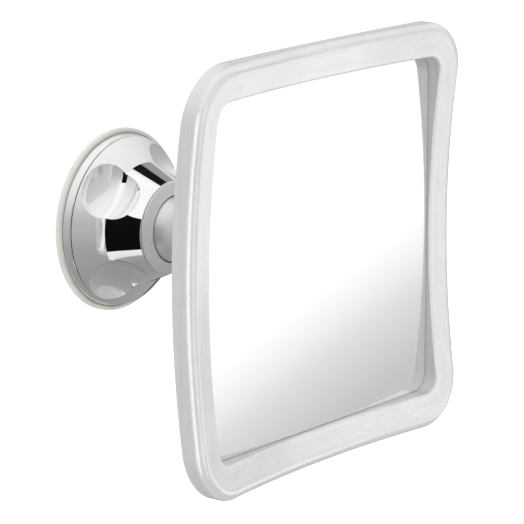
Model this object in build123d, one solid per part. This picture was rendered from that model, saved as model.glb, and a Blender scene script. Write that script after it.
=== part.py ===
from build123d import *
import os
from math import asin, cos, degrees, radians, sin, sqrt

# Fogless shower mirror: a square swivel mirror carried by a ball joint on a
# twist-lock suction base. Lengths are millimetres.
# X runs to the right, Y runs into the wall and Z runs up. The wall plane is Y = 0.
# A depth is measured from the wall towards the user, so depth d lies at Y = -d.

# Gaps between neighbouring pieces
touch_gap = 0.05
bore_gap = 0.08
ball_gap = 0.15
loose_gap = 0.3
cut_overrun = 1.0

# Screw circles start at this angle from X
screw_first_angle = 45.0

# Mirror head, seen from the front
head_half = 80.0
bead_width = 13.5
opening_corner_r = 7.0
opening_widening = 1.7
opening_half = head_half - bead_width
opening_half_x = opening_half + opening_widening
head_corner_r = opening_corner_r + bead_width

# Mirror head, along the depth
glass_depth = 100.0
glass_t = 3.0
film_t = 0.2
film_inset = 0.3
glass_back = glass_depth - glass_t

# Dishes that the bead's front and back follow: each has a drop behind the glass at
# the mirror's middle, and the rise that it reaches at the middle of each edge
front_drop = 3.4
front_rise_x = 6.8
front_rise_z = 7.5
back_drop = 9.2
back_rise_x = 3.0
back_rise_z = 7.8
dish_reach_share = 1.15
bead_outer_round = 3.2
bead_inner_round = 0.8
bead_blank_back = 14.0
bead_blank_front = 20.0

# Frame skirt behind the bead, and the pocket that holds the glass
skirt_inset = 8.5
skirt_wall = 2.2
skirt_reach = 2.0
pocket_gap = 0.3
skirt_half = head_half - skirt_inset
pocket_half = skirt_half - skirt_wall
glass_half = pocket_half - pocket_gap
skirt_back = glass_back - skirt_reach

# Seal between frame and rear cover
seal_t = 0.8
seal_inset = 0.4
seal_width = 1.4

# Rear cover
cover_wall = 2.2
cover_slope_in = 10.0
cover_depth = 6.4
cover_lip_gap = 0.3
cover_lip_wall = 1.8
cover_lip_clear = 0.1
cover_edge_round = 2.0
cover_front = skirt_back - seal_t
cover_back = cover_front - cover_depth
cover_floor = cover_back + cover_wall
cover_back_half = skirt_half - cover_slope_in
cover_lip_half = pocket_half - cover_lip_gap

# Posts and foam pads behind the glass
post_r = 8.0
post_pitch = 84.0
pad_t = 1.0

# Swivel hub in the rear cover
hub_r = 17.0
hub_reach = 5.8
hub_edge_round = 1.2
hub_flange_t = 2.0
hub_flange_rim = 3.4
hub_screw_count = 4
hub_screw_out = 3.6
hub_screw_r = 1.2
hub_screw_head_r = 2.4
hub_screw_head_h = 1.4
hub_screw_bite = 4.0
hub_back = cover_back - hub_reach
hub_flange_top = cover_floor + hub_flange_t
hub_screw_pitch_r = hub_r + hub_screw_out
hub_flange_r = hub_screw_pitch_r + hub_flange_rim

# Round step on the rear cover that carries the swivel
step_rim = 3.0
step_h = 2.4
step_round = 1.0
step_r = hub_flange_r + step_rim

# Swivel pin on the arm, and what holds it in the hub
spigot_r = 6.0
friction_washer_t = 0.75
friction_washer_r = 14.0
swivel_washer_r = 9.0
swivel_washer_t = 1.0
swivel_screw_r = 2.0
swivel_screw_head_r = 3.6
swivel_screw_head_h = 2.0
swivel_screw_length = 16.0
hex_socket_r = 1.9
hex_socket_depth = 1.1

# Suction cup, along the depth
cup_t = 2.1
cup_edge_round = 0.7
cup_boss_r = 8.0
cup_boss_h = 1.5

# Flange and tube of the guide hub
plate_t = 1.6
tube_wall = 2.7
plate_back = cup_t
plate_front = plate_back + plate_t
tube_bore_r = cup_boss_r + loose_gap
tube_r = tube_bore_r + tube_wall

# Cam ring on its slip washer
twist_angle = 90.0
pull_travel = 2.0
slip_washer_t = 0.5
cam_base_t = 0.8
cam_wall = 4.12
cam_flange_t = 1.8
cam_ramp_inset = 0.25
cam_steps = 8
cam_bore_r = tube_r + bore_gap
cam_outer_r = cam_bore_r + cam_wall
cam_back = plate_front + slip_washer_t + touch_gap
cam_low = cam_back + cam_base_t

# Pull stud and its cross pin
stud_r = 3.0
stud_head_r = 6.0
stud_head_t = 1.2
stud_floor = 0.9
stud_tip = 0.8
stud_chamfer = 0.25
stud_room = 1.25
pin_r = 1.5
pin_end_inset = 0.6
pin_chamfer = 0.3
pin_half = cam_outer_r - pin_end_inset
pin_depth = cam_low + ball_gap + pin_r

# Ball and the socket round it
ball_r = 13.5
ball_neck_r = 7.0
seat_t = 0.8
seat_edge_back = 6.5
seat_hole_r = 4.6
socket_wall = 1.2
socket_shell = 1.6
socket_rim_back = 8.6
ball_depth = pin_depth + pin_r + stud_tip + pull_travel + stud_room + ball_r
ball_front = ball_depth + sqrt(ball_r ** 2 - ball_neck_r ** 2)
collar_sphere_r = ball_r + ball_gap
seat_r = collar_sphere_r + seat_t
socket_r = seat_r + ball_gap
socket_outer_r = socket_r + socket_wall
socket_back_r = socket_r + socket_shell

# Collar nut
collar_h = 2.2
collar_lip = 1.2
collar_rim_inset = 0.5
collar_gap = 0.3
collar_round = 0.4
collar_skirt_wall = 0.95
collar_skirt_length = 6.5
collar_edge_drop = 1.8
collar_rim_chamfer = 0.4
collar_rim_r = ball_r - collar_rim_inset
collar_front = ball_depth + sqrt(collar_sphere_r ** 2 - collar_rim_r ** 2)
collar_back = collar_front - collar_h
collar_skirt_r = socket_outer_r + bore_gap + collar_skirt_wall
collar_r = collar_skirt_r + collar_lip

# O-ring between the socket and the dome's bore
o_ring_wire_r = 0.5
o_ring_behind = 7.8

# Dome's bore and the screws that fix the cam ring in the dome
dome_bore_gap = 0.15
dome_screw_count = 3
dome_screw_inset = 2.92
dome_screw_r = 1.1
dome_screw_head_r = 2.2
dome_screw_head_h = 1.2
dome_screw_length = 6.5
dome_boss_r = 2.8
cam_flange_rim = 1.1
slip_washer_inset = 2.2
dome_bore_r = collar_skirt_r + dome_bore_gap
dome_screw_pitch_r = dome_bore_r + dome_screw_inset
cam_flange_r = dome_screw_pitch_r + dome_screw_head_r + cam_flange_rim
slip_washer_r = cam_flange_r - slip_washer_inset

# Pressure ring over the cup's rim
ring_h = 3.05
ring_room = 5.3
ring_rim_width = 4.8
ring_flare = 0.8
ring_lap = 2.5
ring_edge_round = 0.3
cup_rim_show = 1.9
ring_front = cup_t + ring_h
ring_bore_r = cam_flange_r + ring_room
ring_top_r = ring_bore_r + ring_rim_width
ring_foot_r = ring_top_r + ring_flare
plate_r = ring_bore_r + ring_lap
cup_r = ring_foot_r + cup_rim_show

# Twist dome and its finger scoops
dome_foot_gap = 0.2
dome_foot_step = 0.25
dome_foot_land = 0.45
dome_skirt_run = 9.05
dome_skirt_rise = 9.15
dome_skirt_bulge = 0.3
dome_skirt_wall = 1.2
dome_tip_wall = 1.17
dome_edge_round = 0.35
scoop_r = 12.8
scoop_long_r = 17.1
scoop_out = 7.5
scoop_up = 4.4
scoop_count = 4
scoop_first_angle = 51.5
dome_foot = ring_front + dome_foot_gap
dome_foot_r = ring_top_r - dome_foot_step
dome_crease_r = dome_foot_r - dome_skirt_run
dome_crease_depth = dome_foot + dome_skirt_rise
dome_tip_r = dome_bore_r + dome_tip_wall
dome_tip_depth = collar_back - collar_gap
scoop_centre_r = dome_crease_r + scoop_out
scoop_centre_depth = dome_crease_depth + scoop_up

# Screw through the ball into the arm
ball_bore_r = 4.0
ball_bore_stop = 4.0
arm_screw_r = 2.0
arm_screw_head_r = 3.6
arm_screw_head_h = 3.0
arm_screw_bite = 14.0

# Arm
arm_neck_r = 6.0
arm_neck_length = 5.0
arm_body_r = 9.0
arm_body_share = 0.55
arm_flange_r = 14.5
arm_flange_t = 2.6
arm_flange_round = 0.8
arm_flare_share = 0.86


def at_depth(depth):
    """Sketch plane facing the user at a depth from the wall"""
    return Plane.XZ.offset(depth)


def disc(radius, low, high, x=0, z=0):
    """Round bar between two depths"""
    return extrude(at_depth(low) * Pos(x, z) * Circle(radius), amount=high - low)


def tube(outer_r, inner_r, low, high):
    """Round bar with a bore between two depths"""
    bore = disc(inner_r, low - cut_overrun, high + cut_overrun)
    return disc(outer_r, low, high) - bore


def square(half, corner_r, low, high):
    """Rounded square block between two depths"""
    outline = RectangleRounded(2 * half, 2 * half, corner_r)
    return extrude(at_depth(low) * outline, amount=high - low)


def square_ring(half, wall, low, high):
    """Rounded square ring, concentric with the mirror's opening"""
    outer = square(half, corner_at(half), low, high)
    inner = square(half - wall, corner_at(half - wall), low - cut_overrun, high + cut_overrun)
    return outer - inner


def opening_block(inset, low, high):
    """Block of the mirror's opening, which is a little wider than high"""
    width = 2 * (opening_half_x - inset)
    height = 2 * (opening_half - inset)
    outline = RectangleRounded(width, height, opening_corner_r - inset)
    return extrude(at_depth(low) * outline, amount=high - low)


def corner_at(half):
    """Corner radius of a rounded square that is concentric with the opening"""
    return opening_corner_r + half - opening_half


def turned(points):
    """Solid turned about the depth axis from (radius, depth) points"""
    outline = Polyline(*[(radius, -depth) for radius, depth in points], close=True)
    return revolve(make_face(outline), Axis.Y)


def ball(radius):
    """Sphere about the ball joint's centre"""
    return Pos(0, -ball_depth, 0) * Sphere(radius)


def ring_places(count, radius, first_angle=0.0):
    """Places spaced evenly round the depth axis, as (x, z) pairs"""
    angles = [radians(first_angle + 360 * index / count) for index in range(count)]
    return [(radius * cos(angle), radius * sin(angle)) for angle in angles]


def edges_near(shape, depth, radius):
    """Circular edges at a depth and of a radius"""
    found = []
    for edge in shape.edges().filter_by(GeomType.CIRCLE):
        at_place = abs(edge.center().Y + depth) < touch_gap
        if at_place and abs(edge.radius - radius) < touch_gap:
            found.append(edge)
    return found


def dish_block(drop, edge_rise_x, edge_rise_z):
    """Block behind a dish with a drop at its middle and a rise at its edges"""
    reach = dish_reach_share * head_half
    rise_x = edge_rise_x * dish_reach_share ** 2
    rise_z = edge_rise_z * dish_reach_share ** 2
    places = (-reach, 0, reach)
    poles = (1, -1, 1)
    rows = []
    for x, pole_x in zip(places, poles):
        row = []
        for z, pole_z in zip(places, poles):
            forward = glass_depth + rise_x * pole_x + rise_z * pole_z - drop
            row.append((x, -forward, z))
        rows.append(row)
    skin = Face.make_bezier_surface(rows)
    return extrude(skin, amount=head_half, dir=(0, 1, 0))


def suction_cup():
    """Soft disc with a boss moulded round the stud's head"""
    body = disc(cup_r, 0, cup_t)
    body = fillet(edges_near(body, cup_t, cup_r), cup_edge_round)
    body += disc(cup_boss_r, cup_t, cup_t + cup_boss_h)
    head_top = stud_floor + stud_head_t
    body -= disc(stud_head_r + touch_gap, stud_floor - touch_gap, head_top + touch_gap)
    return body - disc(stud_r + touch_gap, stud_floor, cup_t + cup_boss_h + cut_overrun)


def pull_stud():
    """Headed stud that lifts the middle of the cup"""
    tip = pin_depth + pin_r + stud_tip
    body = disc(stud_head_r, stud_floor, stud_floor + stud_head_t)
    body += disc(stud_r, stud_floor + stud_head_t, tip)
    body = chamfer(edges_near(body, tip, stud_r), stud_chamfer)
    return body - cross_bar(pin_r, 2 * stud_r)


def cross_bar(radius, half_length):
    """Round bar along X through the stud's pin hole"""
    bar = Cylinder(radius, 2 * half_length, rotation=(0, 90, 0))
    return Pos(0, -pin_depth, 0) * bar


def cross_pin():
    """Hardened pin whose ends ride on the cam ramps"""
    bar = Cylinder(pin_r, 2 * pin_half, rotation=(0, 90, 0))
    bar = chamfer(bar.edges().filter_by(GeomType.CIRCLE), pin_chamfer)
    return Pos(0, -pin_depth, 0) * bar


def pressure_ring():
    """Bright ring that presses the cup's rim to the wall"""
    lap_r = plate_r + touch_gap
    points = [
        (lap_r, cup_t),
        (ring_foot_r, cup_t),
        (ring_top_r, ring_front),
        (ring_bore_r, ring_front),
        (ring_bore_r, plate_front + touch_gap),
        (lap_r, plate_front + touch_gap),
    ]
    body = turned(points)
    return fillet(edges_near(body, ring_front, ring_top_r), ring_edge_round)


def guide_hub():
    """Flange on the cup, slotted tube round the stud, and the ball's socket"""
    body = disc(plate_r, plate_back, plate_front)
    body += disc(tube_r, plate_back, ball_depth - sqrt(socket_r ** 2 - tube_r ** 2))
    body += ball(socket_back_r) & disc(socket_outer_r, plate_front, ball_depth)
    body += disc(socket_outer_r, ball_depth - socket_rim_back, collar_back)
    inside = ball(socket_r)
    body -= inside
    body -= disc(socket_r, ball_depth, collar_back + cut_overrun)
    body -= disc(tube_bore_r, 0, ball_depth) - ball(socket_back_r)
    body -= disc(stud_r + bore_gap, 0, ball_depth)
    slot_low = plate_front + slip_washer_t
    slot_high = pin_depth + pull_travel + pin_r + ball_gap
    slot_width = 2 * (pin_r + ball_gap)
    slot_size = (2 * socket_outer_r, slot_high - slot_low, slot_width)
    slot = Pos(0, -(slot_low + slot_high) / 2, 0) * Box(*slot_size)
    return body - slot


def slip_washer():
    """Plastic washer that the cam ring turns on"""
    return tube(slip_washer_r, tube_r + bore_gap, plate_front, plate_front + slip_washer_t)


def cam_section(angle, height):
    """Radial rectangle of a ramp, on the cam ring at an angle from +X"""
    inner = cam_bore_r + cam_ramp_inset
    outer = cam_outer_r - cam_ramp_inset
    foot = cam_low - cam_base_t / 2
    points = [(inner, -foot), (outer, -foot), (outer, -height), (inner, -height)]
    section = make_face(Polyline(*points, close=True))
    return section.rotate(Axis.Y, angle)


def cam_ring():
    """Ring with two ramps that lift the cross pin as the dome turns"""
    body = tube(cam_outer_r, cam_bore_r, cam_back, cam_low)
    body += tube(cam_flange_r, cam_outer_r, cam_back, cam_back + cam_flange_t)
    half_pin = degrees(asin((pin_r + ball_gap) / cam_bore_r))
    for first in (0, 180):
        sections = []
        for step in range(cam_steps + 1):
            share = step / cam_steps
            height = cam_low + pull_travel * share
            sections.append(cam_section(first - half_pin * (1 - share) - twist_angle * share, height))
        body += loft(sections, ruled=True)
    for x, z in ring_places(dome_screw_count, dome_screw_pitch_r, screw_first_angle):
        body -= disc(dome_screw_head_r + touch_gap, cam_back, cam_back + dome_screw_head_h, x, z)
        body -= disc(dome_screw_r + touch_gap, cam_back, cam_back + cam_flange_t, x, z)
    return body


def dome_screws():
    """Screws that fix the cam ring to the dome"""
    screws = []
    for x, z in ring_places(dome_screw_count, dome_screw_pitch_r, screw_first_angle):
        head = disc(dome_screw_head_r, cam_back, cam_back + dome_screw_head_h, x, z)
        shank = disc(dome_screw_r, cam_back, cam_back + dome_screw_length, x, z)
        screws.append(head + shank)
    return Compound(children=screws)


def dome_skin():
    """Outer form of the dome: a bulged skirt below a steeper neck"""
    foot = (dome_foot_r, -(dome_foot + dome_foot_land))
    crease = (dome_crease_r, -dome_crease_depth)
    middle = (Vector(*foot) + Vector(*crease)) / 2
    run = Vector(*crease) - Vector(*foot)
    side = Vector(-run.Y, run.X).normalized() * dome_skirt_bulge
    skirt = ThreePointArc(foot, middle + side, crease)
    rest = Polyline(
        crease,
        (dome_tip_r, -dome_tip_depth),
        (0, -dome_tip_depth),
        (0, -dome_foot),
        (dome_foot_r, -dome_foot),
        foot,
    )
    return revolve(make_face([skirt, *rest.edges()]), Axis.Y)


def dome_hollow():
    """Room inside the dome, held a wall away from the skirt and the finger scoops"""
    reach = scoop_r + dome_skirt_wall
    body = disc(dome_foot_r - 2 * dome_skirt_wall, dome_foot, scoop_centre_depth)
    wheel = Pos(scoop_centre_r, -scoop_centre_depth) * Circle(reach)
    body -= revolve(wheel, Axis.Y)
    return body + disc(dome_bore_r, dome_foot - cut_overrun, dome_tip_depth + cut_overrun)


def finger_scoop(angle):
    """Egg that cuts one finger scoop, lying across the dome's radius"""
    half = Ellipse(scoop_long_r, scoop_r) & Pos(0, scoop_r) * Rectangle(2 * scoop_long_r, 2 * scoop_r)
    egg = revolve(half, Axis.X).rotate(Axis.Y, 90)
    egg = Pos(scoop_centre_r, -scoop_centre_depth, 0) * egg
    return egg.rotate(Axis.Y, -angle)


def lock_dome():
    """Bright dome that is turned by hand to lock the cup"""
    body = dome_skin()
    body = fillet(edges_near(body, dome_tip_depth, dome_tip_r), dome_edge_round)
    body = fillet(edges_near(body, dome_foot, dome_foot_r), dome_edge_round)
    body -= dome_hollow()
    core = dome_skin()
    flange_front = cam_back + cam_flange_t
    for x, z in ring_places(dome_screw_count, dome_screw_pitch_r, screw_first_angle):
        boss = disc(dome_boss_r, flange_front, dome_crease_depth, x, z) & core
        body += boss - disc(dome_bore_r, dome_foot, dome_tip_depth)
        body -= disc(dome_screw_r, flange_front, cam_back + dome_screw_length, x, z)
    for index in range(scoop_count):
        body -= finger_scoop(scoop_first_angle + 360 * index / scoop_count)
    return body


def neck_o_ring():
    """Rubber ring that drags lightly in the dome's bore"""
    centre_r = socket_outer_r + o_ring_wire_r
    ring = Torus(centre_r, o_ring_wire_r, rotation=(90, 0, 0))
    return Pos(0, -(ball_depth - o_ring_behind), 0) * ring


def ball_seat():
    """Plastic cup that the ball rocks in"""
    keep_low = ball_depth - seat_r - cut_overrun
    keep = tube(seat_r, seat_hole_r, keep_low, ball_depth - seat_edge_back)
    return (ball(seat_r) - ball(collar_sphere_r)) & keep


def collar_nut():
    """Satin collar that screws over the socket and holds the ball"""
    points = [
        (collar_r, collar_back),
        (collar_r, collar_front - collar_edge_drop),
        (collar_rim_r, collar_front),
        (0, collar_front),
        (0, collar_back),
    ]
    body = turned(points)
    shoulder = edges_near(body, collar_front - collar_edge_drop, collar_r)
    body = fillet(shoulder, collar_round)
    body += disc(collar_skirt_r, collar_back - collar_skirt_length, collar_back)
    body -= disc(socket_outer_r + bore_gap, 0, collar_back + touch_gap)
    body -= ball(collar_sphere_r)
    return chamfer(edges_near(body, collar_front, collar_rim_r), collar_rim_chamfer)


def pivot_ball():
    """Satin ball with a flat for the arm and a bore for its screw"""
    stop = ball_front - ball_bore_stop
    body = ball(ball_r) & disc(ball_r, ball_depth - ball_r, ball_front)
    body -= disc(ball_bore_r, ball_depth - ball_r - cut_overrun, stop)
    return body - disc(arm_screw_r + touch_gap, stop - cut_overrun, ball_front + cut_overrun)


def arm_screw():
    """Socket-head screw that pulls the arm onto the ball"""
    stop = ball_front - ball_bore_stop
    body = disc(arm_screw_head_r, stop - arm_screw_head_h, stop)
    body += disc(arm_screw_r, stop, ball_front + arm_screw_bite)
    return body - hexagon_socket(stop - arm_screw_head_h, 1)


def hexagon_socket(depth, inward):
    """Key socket cut into a screw head, from its face at a depth"""
    outline = at_depth(depth) * RegularPolygon(hex_socket_r, 6)
    return extrude(outline, amount=hex_socket_depth * inward)


def swing_arm():
    """Satin arm that flares from the ball to the flange at the mirror"""
    flange_front = hub_back - friction_washer_t - 2 * touch_gap
    flange_back = flange_front - arm_flange_t
    length = flange_back - ball_front
    neck_end = ball_front + arm_neck_length
    middle = ball_front + arm_body_share * length
    flare = ball_front + arm_flare_share * length
    side = Spline(
        (arm_neck_r, -neck_end),
        (arm_body_r, -middle),
        (arm_flange_r - arm_flange_t, -flare),
        (arm_flange_r, -flange_back),
        tangents=[(0, -1), (1, -1)],
    )
    ends = Polyline(
        (arm_flange_r, -flange_back),
        (arm_flange_r, -flange_front),
        (0, -flange_front),
        (0, -ball_front),
        (arm_neck_r, -ball_front),
        (arm_neck_r, -neck_end),
    )
    body = revolve(make_face([side, *ends.edges()]), Axis.Y)
    body = fillet(edges_near(body, flange_front, arm_flange_r), arm_flange_round)
    spigot_end = hub_flange_top + 2 * touch_gap
    body += disc(spigot_r, flange_front, spigot_end)
    body -= disc(arm_screw_r, ball_front, ball_front + arm_screw_bite)
    return body - disc(swivel_screw_r, spigot_end - swivel_screw_length, spigot_end)


def friction_washer():
    """Nylon washer between the arm's flange and the swivel hub"""
    back = hub_back - friction_washer_t - touch_gap
    return tube(friction_washer_r, spigot_r + bore_gap, back, back + friction_washer_t)


def swivel_hub():
    """Turned bush in the rear cover that the mirror spins on"""
    body = disc(hub_r, hub_back, cover_floor)
    body = fillet(edges_near(body, hub_back, hub_r), hub_edge_round)
    body += disc(hub_flange_r, cover_floor, hub_flange_top)
    body -= disc(spigot_r + bore_gap, hub_back - cut_overrun, hub_flange_top + cut_overrun)
    for x, z in ring_places(hub_screw_count, hub_screw_pitch_r, screw_first_angle):
        body -= disc(hub_screw_r + touch_gap, cover_floor, hub_flange_top, x, z)
    return body


def hub_screws():
    """Screws that fix the swivel hub to the rear cover"""
    screws = []
    for x, z in ring_places(hub_screw_count, hub_screw_pitch_r, screw_first_angle):
        head = disc(hub_screw_head_r, hub_flange_top, hub_flange_top + hub_screw_head_h, x, z)
        shank = disc(hub_screw_r, cover_floor - hub_screw_bite + touch_gap, hub_flange_top, x, z)
        screws.append(head + shank)
    return Compound(children=screws)


def swivel_washer():
    """Steel washer under the swivel screw's head"""
    back = hub_flange_top + 2 * touch_gap
    return tube(swivel_washer_r, swivel_screw_r + touch_gap, back, back + swivel_washer_t)


def swivel_screw():
    """Screw that holds the mirror on the arm's spigot"""
    seat = hub_flange_top + 2 * touch_gap + swivel_washer_t
    end = seat - swivel_washer_t - swivel_screw_length
    body = disc(swivel_screw_head_r, seat, seat + swivel_screw_head_h)
    body += disc(swivel_screw_r, end, seat)
    return body - hexagon_socket(seat + swivel_screw_head_h, -1)


def tapered(front_half, back_half, back):
    """Rounded square block that narrows from the cover's front to a depth behind it"""
    corner_r = corner_at(skirt_half)
    front_outline = RectangleRounded(2 * front_half, 2 * front_half, corner_r)
    back_outline = RectangleRounded(2 * back_half, 2 * back_half, corner_r)
    return loft([at_depth(cover_front) * front_outline, at_depth(back) * back_outline])


def rear_cover():
    """Tapered moulded back with a lip, pad posts and the step for the swivel"""
    body = tapered(skirt_half, cover_back_half, cover_back)
    body = fillet(body.faces().sort_by(Axis.Y)[-1].edges(), cover_edge_round)
    body -= tapered(skirt_half - cover_wall, cover_back_half - cover_wall, cover_floor)
    step = disc(step_r, cover_back - step_h, cover_floor)
    body += fillet(edges_near(step, cover_back - step_h, step_r), step_round)
    lip_top = glass_back - cover_lip_clear
    body += square_ring(cover_lip_half, cover_lip_wall, cover_front - cover_wall, lip_top)
    for x in (-post_pitch / 2, post_pitch / 2):
        for z in (-post_pitch / 2, post_pitch / 2):
            body += disc(post_r, cover_floor, glass_back - pad_t, x, z)
    body -= disc(hub_r + touch_gap, cover_back - step_h - cut_overrun, cover_floor + cut_overrun)
    for x, z in ring_places(hub_screw_count, hub_screw_pitch_r, screw_first_angle):
        body -= disc(hub_screw_r, cover_floor - hub_screw_bite, cover_floor, x, z)
    return body


def cover_seal():
    """Rubber seal between the frame's skirt and the rear cover"""
    return square_ring(skirt_half - seal_inset, seal_width, cover_front, skirt_back)


def foam_pads():
    """Foam discs that hold the glass forward against the frame"""
    pads = []
    for x in (-post_pitch / 2, post_pitch / 2):
        for z in (-post_pitch / 2, post_pitch / 2):
            pads.append(disc(post_r, glass_back - pad_t, glass_back, x, z))
    return Compound(children=pads)


def mirror_plate():
    """Silvered plate in the frame's pocket"""
    return square(glass_half, corner_at(glass_half), glass_back, glass_depth)


def anti_fog_film():
    """Clear film on the visible face of the plate"""
    return opening_block(film_inset, glass_depth, glass_depth + film_t)


def front_frame():
    """Frame whose rounded bead follows a dish in both directions"""
    back = glass_depth - bead_blank_back
    front = glass_depth + bead_blank_front
    body = square(head_half, head_corner_r, back, front)
    body &= dish_block(front_drop, front_rise_x, front_rise_z)
    rim = [edge for edge in body.edges() if edge.center().Y < -glass_depth - touch_gap]
    body = fillet(rim, bead_outer_round)
    body -= opening_block(0, back - cut_overrun, front)
    inner = []
    for edge in body.edges():
        place = edge.center()
        across = abs(place.X) < opening_half_x + touch_gap
        upright = abs(place.Z) < opening_half + touch_gap
        if across and upright and place.Y < -glass_depth:
            inner.append(edge)
    body = fillet(inner, bead_inner_round)
    outside = square(2 * head_half, head_corner_r, back - cut_overrun, front)
    outside -= square(skirt_half, corner_at(skirt_half), back - 2 * cut_overrun, front + cut_overrun)
    body -= outside & dish_block(back_drop, back_rise_x, back_rise_z)
    behind_half = skirt_half + touch_gap
    body -= square(behind_half, corner_at(behind_half), back - cut_overrun, skirt_back)
    body -= square(pocket_half, corner_at(pocket_half), back - cut_overrun, glass_depth)
    return body


def save(name, shape):
    """Write one piece to its own file"""
    shape.label = name
    export_step(shape, os.path.join("parts", name + ".step"))


pieces = {
    "suction_cup": suction_cup,
    "pull_stud": pull_stud,
    "cross_pin": cross_pin,
    "pressure_ring": pressure_ring,
    "guide_hub": guide_hub,
    "slip_washer": slip_washer,
    "cam_ring": cam_ring,
    "dome_screws": dome_screws,
    "lock_dome": lock_dome,
    "neck_o_ring": neck_o_ring,
    "ball_seat": ball_seat,
    "collar_nut": collar_nut,
    "pivot_ball": pivot_ball,
    "arm_screw": arm_screw,
    "swing_arm": swing_arm,
    "friction_washer": friction_washer,
    "swivel_hub": swivel_hub,
    "hub_screws": hub_screws,
    "swivel_washer": swivel_washer,
    "swivel_screw": swivel_screw,
    "rear_cover": rear_cover,
    "cover_seal": cover_seal,
    "foam_pads": foam_pads,
    "mirror_plate": mirror_plate,
    "anti_fog_film": anti_fog_film,
    "front_frame": front_frame,
}

os.makedirs("parts", exist_ok=True)
for piece_name, make_piece in pieces.items():
    save(piece_name, make_piece())
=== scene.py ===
from math import cos, hypot, pi, radians, sin

import bmesh
import bpy
from bpy.props import FloatProperty, FloatVectorProperty, IntProperty, PointerProperty
from mathutils import Matrix, Vector


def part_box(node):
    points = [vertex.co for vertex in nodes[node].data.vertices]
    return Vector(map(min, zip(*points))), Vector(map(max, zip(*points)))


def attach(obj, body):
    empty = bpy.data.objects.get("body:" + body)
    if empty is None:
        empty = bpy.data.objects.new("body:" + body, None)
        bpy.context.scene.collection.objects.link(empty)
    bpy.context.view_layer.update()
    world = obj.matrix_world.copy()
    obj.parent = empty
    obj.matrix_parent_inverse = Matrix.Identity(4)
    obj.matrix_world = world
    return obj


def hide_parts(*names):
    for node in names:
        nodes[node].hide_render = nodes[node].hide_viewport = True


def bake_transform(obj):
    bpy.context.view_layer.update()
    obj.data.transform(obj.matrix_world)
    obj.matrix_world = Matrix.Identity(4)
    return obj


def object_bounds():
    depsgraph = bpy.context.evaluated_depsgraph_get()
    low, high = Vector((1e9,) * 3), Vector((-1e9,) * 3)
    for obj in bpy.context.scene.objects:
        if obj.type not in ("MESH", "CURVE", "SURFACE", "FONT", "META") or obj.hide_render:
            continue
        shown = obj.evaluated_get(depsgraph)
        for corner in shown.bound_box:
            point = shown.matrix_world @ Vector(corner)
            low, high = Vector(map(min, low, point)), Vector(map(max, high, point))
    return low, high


# Looks for the fogless shower mirror: finishes for every CAD piece, the soft
# pieces that stand for their CAD solids, and the studio. Metres, X right,
# Y into the wall, Z up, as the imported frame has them.

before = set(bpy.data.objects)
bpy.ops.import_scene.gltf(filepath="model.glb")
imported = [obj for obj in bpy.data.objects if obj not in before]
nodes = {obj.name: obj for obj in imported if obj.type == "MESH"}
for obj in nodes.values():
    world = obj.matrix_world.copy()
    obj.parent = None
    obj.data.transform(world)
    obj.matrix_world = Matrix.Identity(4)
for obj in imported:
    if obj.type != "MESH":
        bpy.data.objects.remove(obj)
cad_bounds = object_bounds()

bl_info = {
    "name": "Fogless Shower Mirror",
    "version": (1, 0, 0),
    "blender": (4, 5, 0),
    "location": "View3D > Sidebar > Shower Mirror",
    "description": "Finishes, soft pieces and studio for a suction-mounted shower mirror",
    "category": "Object",
}

# Clearances and tolerances
PIECE_GAP = 0.00005
FILM_CLEARANCE = 0.00003
SAME_PLACE = 0.00005
SAME_DEPTH = 0.00001
SMOOTH_ANGLE = radians(35)
ALONG_AXIS = 0.5
QUAD_SIDES = 4

# Wall side of the suction cup: the land at its rim, and its fine rings
RIM_LAND = 0.0002
GROOVE_SPACING = 0.0020
GROOVE_DEPTH = 0.0003
GROOVE_FLOOR = 0.0004

# Middle of the cup, and the stud's head that it holds
BOSS_ROUND = 0.0003
BOSS_FOOT_INSET = 0.0006
STUD_HEAD_RADIUS = 0.006
STUD_SHAFT_RADIUS = 0.003
STUD_HEAD_BACK = 0.0009
STUD_HEAD_FRONT = 0.0021

# Sockets of a colour Mix node, which share their names with those of other types
MIX_SHARE = 0
MIX_FIRST = 6
MIX_SECOND = 7
MIX_RESULT = 2

WHITE = (1.0, 1.0, 1.0)


class MirrorHeadLook(bpy.types.PropertyGroup):
    """Colours and sizes of the mirror head"""

    pearl_tint: FloatVectorProperty(
        name="Pearl plastic",
        description="Colour of the moulded frame and back",
        subtype="COLOR",
        default=(0.86, 0.86, 0.855),
        min=0.0,
        max=1.0,
    )
    pearl_shade: FloatVectorProperty(
        name="Pearl swirl",
        description="Colour of the faint flow swirls in the moulding",
        subtype="COLOR",
        default=(0.82, 0.82, 0.82),
        min=0.0,
        max=1.0,
    )
    silver_tint: FloatVectorProperty(
        name="Silvering",
        description="Colour of the mirror's reflection",
        subtype="COLOR",
        default=(0.96, 0.965, 0.965),
        min=0.0,
        max=1.0,
    )
    bead_width: FloatProperty(
        name="Bead width",
        description="Width of the frame's bead, from its outer edge to the glass",
        unit="LENGTH",
        default=0.0135,
    )
    lip_corner: FloatProperty(
        name="Lip corner",
        description="Radius of the opening's corners",
        unit="LENGTH",
        default=0.007,
    )
    # Painted shadow where the glass meets the frame: width of its dark line
    lip_shadow_width: FloatProperty(
        name="Dark edge",
        description="Width of the dark line where the glass meets the frame",
        unit="LENGTH",
        default=0.0002,
    )
    film_corner: FloatProperty(
        name="Film corner",
        description="Radius of the clear film's corners",
        unit="LENGTH",
        default=0.0067,
    )
    pad_radius: FloatProperty(
        name="Foam pad radius",
        description="Radius of the four foam discs behind the glass",
        unit="LENGTH",
        default=0.008,
    )
    pad_round: FloatProperty(
        name="Foam pad edge",
        description="How far a squeezed disc's side bulges",
        unit="LENGTH",
        default=0.00045,
    )


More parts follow.
